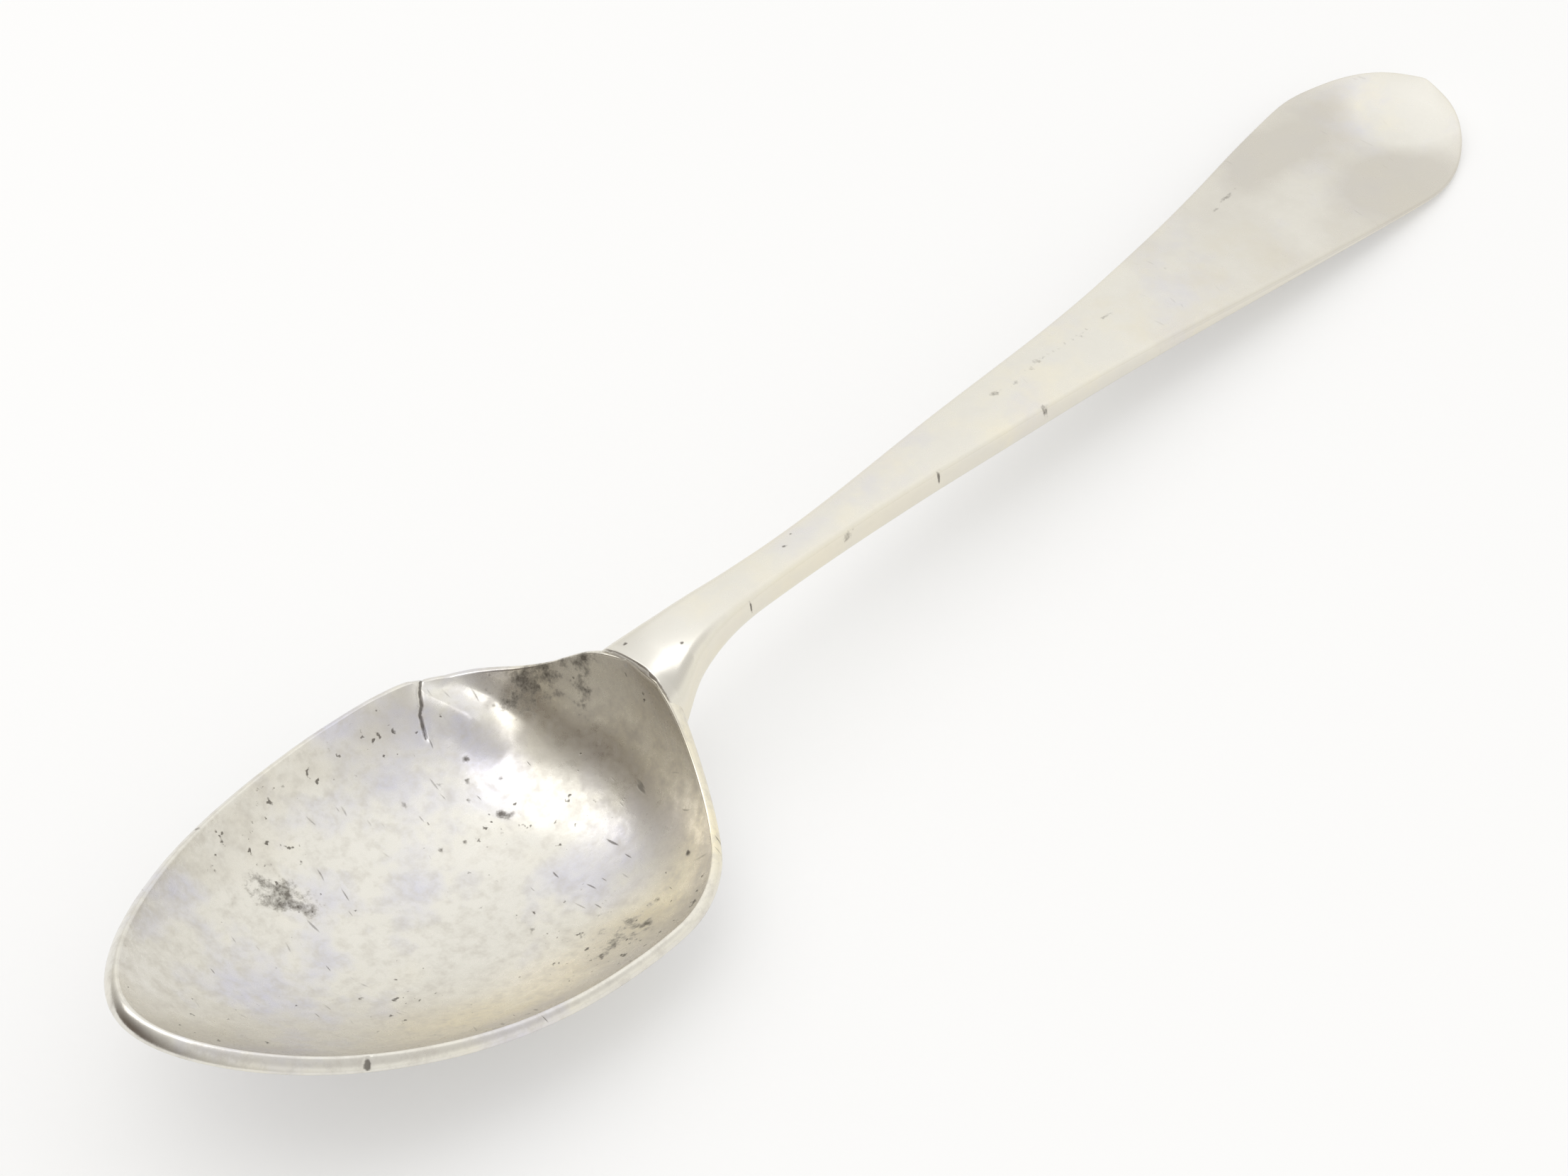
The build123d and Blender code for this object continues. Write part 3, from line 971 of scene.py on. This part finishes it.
    # Planishing marks, scuffing and dirt together lift and sink the surface by a few hundredths of a
    # millimetre
    relief = noise["facet"]
    for value, amount in ((noise["grain"], 0.16), (dirt, -0.25)):
        inputs = {0: value, 1: amount, 2: relief}
        relief = add_node(tree, "ShaderNodeMath", inputs, operation="MULTIPLY_ADD").outputs[0]
    bump = add_node(
        tree, "ShaderNodeBump", {"Height": relief, "Strength": wear["bump"], "Distance": 0.12 * MM}
    )
    shader = add_node(
        tree,
        "ShaderNodeBsdfPrincipled",
        {"Base Color": tint, "Metallic": 1.0, "Roughness": rough, "Normal": bump.outputs["Normal"]},
    )
    tree.links.new(shader.outputs["BSDF"], out.inputs["Surface"])
    return material


def raised_silver(colours):
    """Sheet silver, raised by hammer and worn inside by use: pitted, scratched and cloudy, with a soft
    gloss."""
    wear = {
        "lilac": 0.9,
        "straw": 0.25,
        "scuff": 0.5,
        "pits": 0.75,
        "scratch_turn": 0.7,
        "scratch": 0.6,
        "ragged": 1.6,
        # the bowl's dull grey is all painted shade
        "dull": 0.38,
        "smooth": 0.2,
        "rough": 0.42,
        "bump": 0.45,
    }
    return silver_nodes("silver_raised_and_worn", colours, wear)


def forged_silver(colours):
    """Bar silver, forged, filed and rubbed smooth by hands: an even satin with few pits and a faint straw
    cast."""
    wear = {
        "lilac": 0.5,
        "straw": 0.5,
        "scuff": 0.06,
        "pits": 0.0,
        "scratch_turn": 1.62,
        "scratch": 0.12,
        "ragged": 0.6,
        "dull": 0.8,
        # the stem's dull grey is scuffing and painted shade, and where it is taken away a painted highlight
        "smooth": 0.26,
        "rough": 0.32,
        "bump": 0.04,
    }
    return silver_nodes("silver_forged_and_rubbed", colours, wear)


def hard_solder(colours):
    """Silver solder, run in by a flame and left: duller and yellower than the sheet, grainy, with
    pinholes."""
    material, tree, out = new_material("silver_solder_flowed")
    place = add_node(tree, "ShaderNodeTexCoord", {}).outputs["Object"]
    # Grains of about a third of a millimetre
    grain = add_node(
        tree, "ShaderNodeTexNoise", {"Vector": place, "Scale": per_mm(0.35), "Detail": 5.0, "Roughness": 0.65}
    ).outputs["Fac"]
    holes = add_node(
        tree, "ShaderNodeMapRange", {"Value": grain, "From Min": 0.56, "From Max": 0.7, "To Max": 0.85}
    )
    tint = add_node(
        tree,
        "ShaderNodeMix",
        {FACTOR: holes.outputs["Result"], FIRST: rgba(colours.solder), SECOND: rgba(colours.grime)},
        data_type="RGBA",
    )
    rough = add_node(
        tree,
        "ShaderNodeMapRange",
        {"Value": grain, "From Min": 0.3, "From Max": 0.7, "To Min": 0.35, "To Max": 0.6},
    )
    bump = add_node(tree, "ShaderNodeBump", {"Height": grain, "Strength": 0.5, "Distance": 0.06 * MM})
    shader = add_node(
        tree,
        "ShaderNodeBsdfPrincipled",
        {
            "Base Color": tint.outputs[MIXED],
            "Metallic": 1.0,
            "Roughness": rough.outputs["Result"],
            "Normal": bump.outputs["Normal"],
        },
    )
    tree.links.new(shader.outputs["BSDF"], out.inputs["Surface"])
    return material


def pale_table(colour_value, glow):
    """Matt white card, faintly uneven, lit from behind for the eye and for mirrors only: the share glow
    of what they see is plain white, so that the shadows stay pale and no light is added to the spoon."""
    material, tree, out = new_material("card_matt_white_backlit")
    place = add_node(tree, "ShaderNodeTexCoord", {}).outputs["Object"]
    fleck = add_node(
        tree, "ShaderNodeTexNoise", {"Vector": place, "Scale": per_mm(FLECK_SIZE), "Detail": 3.0}
    )
    darker = [FLECK_DARK * c for c in colour_value]
    tone = add_node(
        tree,
        "ShaderNodeMix",
        {FACTOR: fleck.outputs["Fac"], FIRST: rgba(colour_value), SECOND: rgba(darker)},
        data_type="RGBA",
    )
    card = add_node(tree, "ShaderNodeBsdfDiffuse", {"Color": tone.outputs[MIXED]})
    white = add_node(tree, "ShaderNodeEmission", {"Color": (1.0, 1.0, 1.0, 1.0), "Strength": 1.0})
    ray = add_node(tree, "ShaderNodeLightPath", {})
    seen = ray.outputs["Is Camera Ray"]
    for kind in ("Is Glossy Ray", "Is Transmission Ray"):
        inputs = {0: seen, 1: ray.outputs[kind]}
        seen = add_node(tree, "ShaderNodeMath", inputs, operation="MAXIMUM").outputs[0]
    share = add_node(tree, "ShaderNodeMath", {0: seen, 1: glow}, operation="MULTIPLY")
    both = add_node(
        tree,
        "ShaderNodeMixShader",
        {0: share.outputs[0], 1: card.outputs["BSDF"], 2: white.outputs["Emission"]},
    )
    tree.links.new(both.outputs["Shader"], out.inputs["Surface"])
    return material


# The world's dim low side: its direction, the cosines between which it comes on, and how slowly
DIM_WAY = (-0.95, 0.3, 0.0)
DIM_COSINES = (-0.15, 0.95)
DIM_POWER = 1.6
# The world's darker patch, high on the near side: its direction, its edge and middle as cosines, and its
# depth
PATCH_WAY = (0.05, -0.62, 0.78)
PATCH_COSINES = (0.78, 0.97)
PATCH_DEPTH = 0.36
# Heights, as the sine of the elevation, between which the horizon goes over to the sky
SKY_SINES = (-0.1, 0.9)


def light_world(settings):
    """Light from all round: the horizon's grey goes up to the sky's white, one low side of it is dim, and
    so is one patch high on the near side."""
    world = bpy.data.worlds.new("studio")
    bpy.context.scene.world = world
    world.use_nodes = True
    tree = world.node_tree
    tree.nodes.clear()
    way = add_node(tree, "ShaderNodeTexCoord", {}).outputs["Generated"]
    split = add_node(tree, "ShaderNodeSeparateXYZ", {"Vector": way})
    low, high = SKY_SINES
    rise = add_node(
        tree, "ShaderNodeMapRange", {"Value": split.outputs["Z"], "From Min": low, "From Max": high}
    )
    low, high = DIM_COSINES
    dim = add_node(tree, "ShaderNodeVectorMath", {0: way, 1: DIM_WAY}, operation="DOT_PRODUCT")
    dim = add_node(
        tree, "ShaderNodeMapRange", {"Value": dim.outputs["Value"], "From Min": low, "From Max": high}
    )
    dim = add_node(tree, "ShaderNodeMath", {0: dim.outputs["Result"], 1: DIM_POWER}, operation="POWER")
    low, high = PATCH_COSINES
    patch = add_node(tree, "ShaderNodeVectorMath", {0: way, 1: PATCH_WAY}, operation="DOT_PRODUCT")
    patch = add_node(
        tree,
        "ShaderNodeMapRange",
        {"Value": patch.outputs["Value"], "From Min": low, "From Max": high, "To Max": PATCH_DEPTH},
        interpolation_type="SMOOTHSTEP",
    )
    tone = rgba(settings.horizon)
    for amount, layer in (
        (rise.outputs["Result"], settings.sky),
        (dim.outputs[0], settings.shade),
        (patch.outputs["Result"], settings.shade),
    ):
        inputs = {FACTOR: amount, FIRST: tone, SECOND: rgba(layer)}
        tone = add_node(tree, "ShaderNodeMix", inputs, data_type="RGBA").outputs[MIXED]
    shine = add_node(tree, "ShaderNodeBackground", {"Color": tone, "Strength": settings.world_strength})
    out = tree.nodes.new("ShaderNodeOutputWorld")
    tree.links.new(shine.outputs["Background"], out.inputs["Surface"])


# Stage

TABLE_DROP = 0.01 * MM  # how far the table lies below the spoon, so that the two never share a plane
SENSOR_WIDTH = 36.0
CLIP_START = 5 * MM


def lay_table(scene, settings):
    """A square of pale card just under the spoon."""
    half, low = settings.table_half, -TABLE_DROP
    mesh = bpy.data.meshes.new("table")
    corners = [(-half, -half, low), (half, -half, low), (half, half, low), (-half, half, low)]
    mesh.from_pydata(corners, [], [(0, 1, 2, 3)])
    mesh.materials.append(pale_table(settings.floor, settings.floor_glow))
    table = bpy.data.objects.new("table", mesh)
    scene.collection.objects.link(table)


def hang_panel(scene, settings):
    """One wide soft panel overhead, facing straight down."""
    light = bpy.data.lights.new("overhead_panel", "AREA")
    light.shape = "RECTANGLE"
    light.size, light.size_y = settings.panel_width, settings.panel_length
    light.energy = settings.panel_power
    lamp = bpy.data.objects.new("overhead_panel", light)
    lamp.location = (settings.panel_x, settings.panel_y, settings.panel_height)
    lamp.rotation_euler = (0, 0, settings.panel_turn)
    scene.collection.objects.link(lamp)


def place_camera(scene, settings):
    """A camera at its distance from the target, along the direction given by azimuth and elevation, and
    then turned about that direction by its roll."""
    a, e, roll = settings.camera_azimuth, settings.camera_elevation, settings.camera_roll
    back = Vector((math.cos(e) * math.sin(a), -math.cos(e) * math.cos(a), math.sin(e)))
    right = Vector((math.cos(a), math.sin(a), 0))
    up = back.cross(right)
    turned_right = math.cos(roll) * right + math.sin(roll) * up
    turned_up = math.cos(roll) * up - math.sin(roll) * right
    place = Vector((settings.target_x, settings.target_y, 0)) + settings.camera_distance * back
    data = bpy.data.cameras.new("camera")
    data.sensor_fit = "HORIZONTAL"
    data.sensor_width = SENSOR_WIDTH
    data.lens = settings.lens
    data.clip_start = CLIP_START
    camera = bpy.data.objects.new("camera", data)
    axes = Matrix((turned_right, turned_up, back)).transposed().to_4x4()
    camera.matrix_world = Matrix.Translation(place) @ axes
    scene.collection.objects.link(camera)
    scene.camera = camera


class TEASPOON_OT_bowl(bpy.types.Operator):
    """Makes the raised bowl"""

    bl_idname = "teaspoon.bowl"
    bl_label = "Raise the bowl"

    def execute(self, context):
        scene = context.scene
        grid, values = bowl_surface(scene.teaspoon_bowl)
        add_piece("raised_bowl", "bowl", grid, values, raised_silver(scene.teaspoon_colours))
        return {"FINISHED"}


class TEASPOON_OT_stem(bpy.types.Operator):
    """Makes the forged stem with its shoulders and drop"""

    bl_idname = "teaspoon.stem"
    bl_label = "Forge the stem"

    def execute(self, context):
        scene = context.scene
        grid, values = stem_surface(scene.teaspoon_stem, scene.teaspoon_bowl)
        add_piece("forged_stem", "stem", grid, values, forged_silver(scene.teaspoon_colours))
        return {"FINISHED"}


class TEASPOON_OT_seam(bpy.types.Operator):
    """Runs the solder in along the drop"""

    bl_idname = "teaspoon.seam"
    bl_label = "Run in the solder"

    def execute(self, context):
        scene = context.scene
        grid = seam_surface(scene.teaspoon_bowl, scene.teaspoon_stem, scene.teaspoon_seam.bead)
        add_piece("solder_bead", "solder_seam", grid, {}, hard_solder(scene.teaspoon_colours))
        return {"FINISHED"}


class TEASPOON_OT_stage(bpy.types.Operator):
    """Lays the table, sets the light and places the camera"""

    bl_idname = "teaspoon.stage"
    bl_label = "Set the stage"

    def execute(self, context):
        scene = context.scene
        settings = scene.teaspoon_stage
        scene.view_settings.view_transform = "Standard"
        lay_table(scene, settings)
        light_world(settings)
        hang_panel(scene, settings)
        place_camera(scene, settings)
        return {"FINISHED"}


class TEASPOON_PT_panel(bpy.types.Panel):
    """Lists the teaspoon's pieces and their settings"""

    bl_idname = "TEASPOON_PT_panel"
    bl_label = "Teaspoon"
    bl_space_type = "VIEW_3D"
    bl_region_type = "UI"
    bl_category = "Teaspoon"

    def draw(self, context):
        for key, operator in STEPS:
            box = self.layout.box()
            group = getattr(context.scene, key)
            for name in group.__annotations__:
                box.prop(group, name)
            if operator:
                box.operator(operator)


GROUPS = {
    "teaspoon_bowl": BowlSizes,
    "teaspoon_stem": StemSizes,
    "teaspoon_seam": SeamSizes,
    "teaspoon_colours": SilverColours,
    "teaspoon_stage": StageSettings,
}
STEPS = [
    ("teaspoon_bowl", "teaspoon.bowl"),
    ("teaspoon_stem", "teaspoon.stem"),
    ("teaspoon_seam", "teaspoon.seam"),
    ("teaspoon_colours", None),
    ("teaspoon_stage", "teaspoon.stage"),
]
OPERATORS = [TEASPOON_OT_bowl, TEASPOON_OT_stem, TEASPOON_OT_seam, TEASPOON_OT_stage, TEASPOON_PT_panel]


def register():
    for key, group in GROUPS.items():
        bpy.utils.register_class(group)
        setattr(bpy.types.Scene, key, PointerProperty(type=group))
    for item in OPERATORS:
        bpy.utils.register_class(item)


def unregister():
    for item in reversed(OPERATORS):
        bpy.utils.unregister_class(item)
    for key, group in GROUPS.items():
        delattr(bpy.types.Scene, key)
        bpy.utils.unregister_class(group)


def main():
    register()
    bpy.ops.teaspoon.bowl()
    bpy.ops.teaspoon.stem()
    bpy.ops.teaspoon.seam()
    bpy.ops.teaspoon.stage()


if __name__ == "__main__":
    main()
